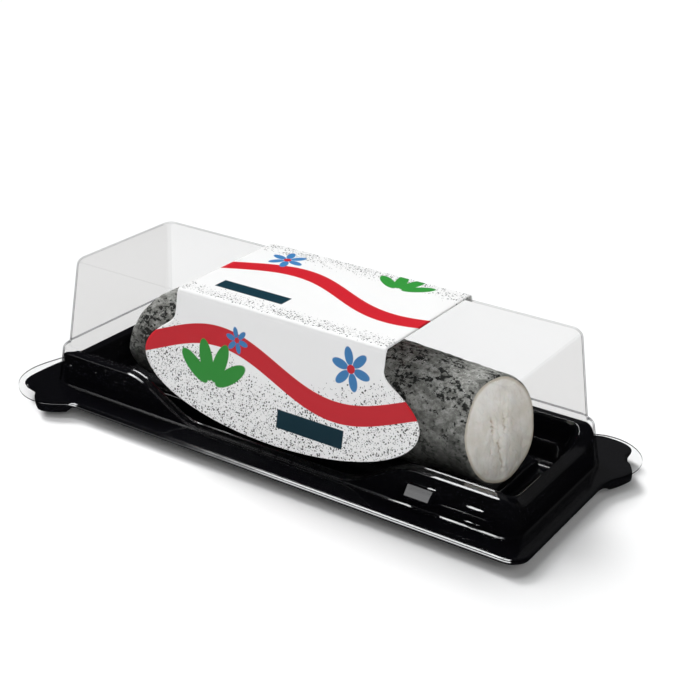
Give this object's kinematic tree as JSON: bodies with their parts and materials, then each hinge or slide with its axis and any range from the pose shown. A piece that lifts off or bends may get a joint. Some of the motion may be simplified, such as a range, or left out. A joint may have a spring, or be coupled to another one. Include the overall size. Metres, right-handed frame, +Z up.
{
  "type": "goat cheese log",
  "caption": "Ash-coated goat cheese log shut in its retail pack: black formed tray, clear domed lid and a printed card label folded over the dome.",
  "frame": {"origin": "middle of the pack's outline, on the surface it stands on", "axes": "+X along the pack towards the log's cut face, +Y towards the back, +Z up"},
  "size_m": [0.2179, 0.0968, 0.0552],
  "materials": {
    "black_plastic": "glossy black formed sheet",
    "clear_plastic": "clear formed sheet, smooth",
    "printed_card": "white card with a satin print",
    "ash_rind": "dull grey ash rind over white paste"
  },
  "bodies": {
    "root": {"tray": "black_plastic", "lid": "clear_plastic", "label": "printed_card", "cheese_log": "ash_rind"}
  },
  "joints": []
}
